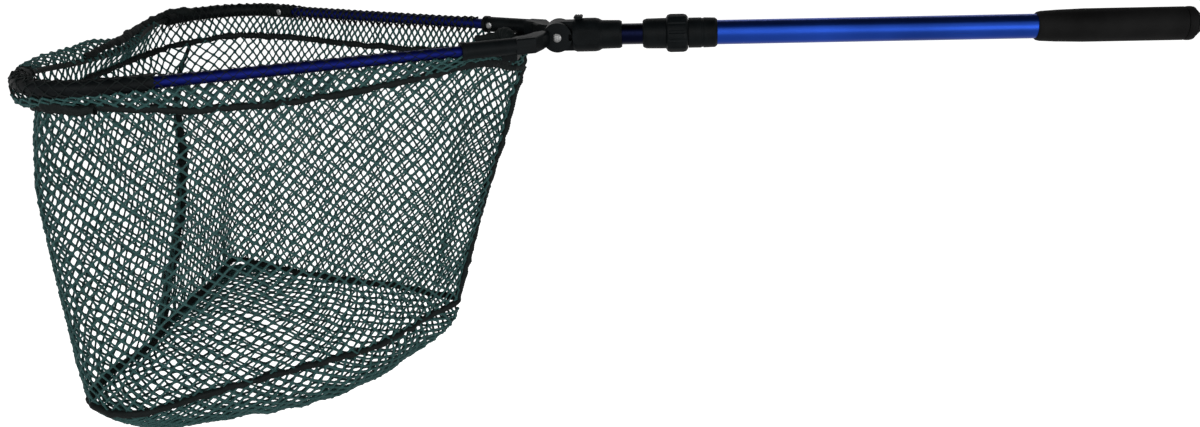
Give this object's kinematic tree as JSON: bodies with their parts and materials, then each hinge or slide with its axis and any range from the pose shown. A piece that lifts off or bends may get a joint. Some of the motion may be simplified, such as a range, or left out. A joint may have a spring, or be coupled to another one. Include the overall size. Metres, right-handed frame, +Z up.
{
  "type": "folding landing net",
  "caption": "Triangular landing net: a netting bag on a hoop of blue tubes that folds on a telescopic handle with a twist lock and a soft grip.",
  "frame": {"origin": "middle of the grip, on the handle's axis", "axes": "+X along the handle towards the grip's butt, -X towards the hoop, +Z up, the bag hangs towards -Z"},
  "size_m": [1.0182, 0.3977, 0.3598],
  "materials": {
    "outer_tube": "glossy blue anodised",
    "inner_tube": "glossy deep navy anodised",
    "hoop_tube": "glossy deep navy anodised",
    "grip": "smooth matt black",
    "black_plastic": "moulded black plastic with a fine grain",
    "pin_steel": "plain bright metal",
    "rivet_aluminium": "plain aluminium",
    "cord": "black braided cord",
    "netting": "black knotless netting with a diamond mesh",
    "binding": "black overcast seam"
  },
  "bodies": {
    "handle": {"outer_tube": "outer_tube", "grip": "grip", "butt_cap": "grip", "lock_collet": "black_plastic", "lock_sleeve": "black_plastic"},
    "lock_ring": {"lock_ring": "black_plastic"},
    "extension": {"inner_tube": "inner_tube", "guide_bush": "black_plastic", "handle_socket": "black_plastic", "latch_spring": "pin_steel"},
    "latch": {"latch_slider": "black_plastic"},
    "head": {"hinge_pin": "pin_steel", "pin_clip": "pin_steel", "yoke": "black_plastic", "near_arm": "hoop_tube", "far_arm": "hoop_tube", "near_corner": "black_plastic", "far_corner": "black_plastic", "yoke_rivets": "rivet_aluminium", "corner_rivets": "rivet_aluminium", "cord_plugs": "black_plastic", "front_cord": "cord", "near_sleeve": "netting", "far_sleeve": "netting", "front_sleeve": "netting", "hem_binding": "binding", "bottom_binding": "binding", "yoke_seam": "binding", "front_seam": "binding", "near_side_net": "netting", "far_side_net": "netting", "front_net": "netting", "bottom_net": "netting"}
  },
  "joints": [
    {"name": "lock_turn", "type": "hinge", "parent": "handle", "child": "lock_ring", "pos_m": [-0.404, 0, 0], "axis": [1, 0, 0], "range_deg": [0, 90]},
    {"name": "extension_slide", "type": "slide", "parent": "handle", "child": "extension", "axis": [-1, 0, 0], "range_m": [0, 0.25]},
    {"name": "latch_slide", "type": "slide", "parent": "extension", "child": "latch", "axis": [1, 0, 0], "range_m": [0, 0.003], "stiffness_N_per_m": 300, "springref_m": -0.002, "deforming": ["latch_spring"]},
    {"name": "head_fold", "type": "hinge", "parent": "extension", "child": "head", "pos_m": [-0.502, 0, 0], "axis": [0, 1, 0], "range_deg": [0, 160]}
  ]
}
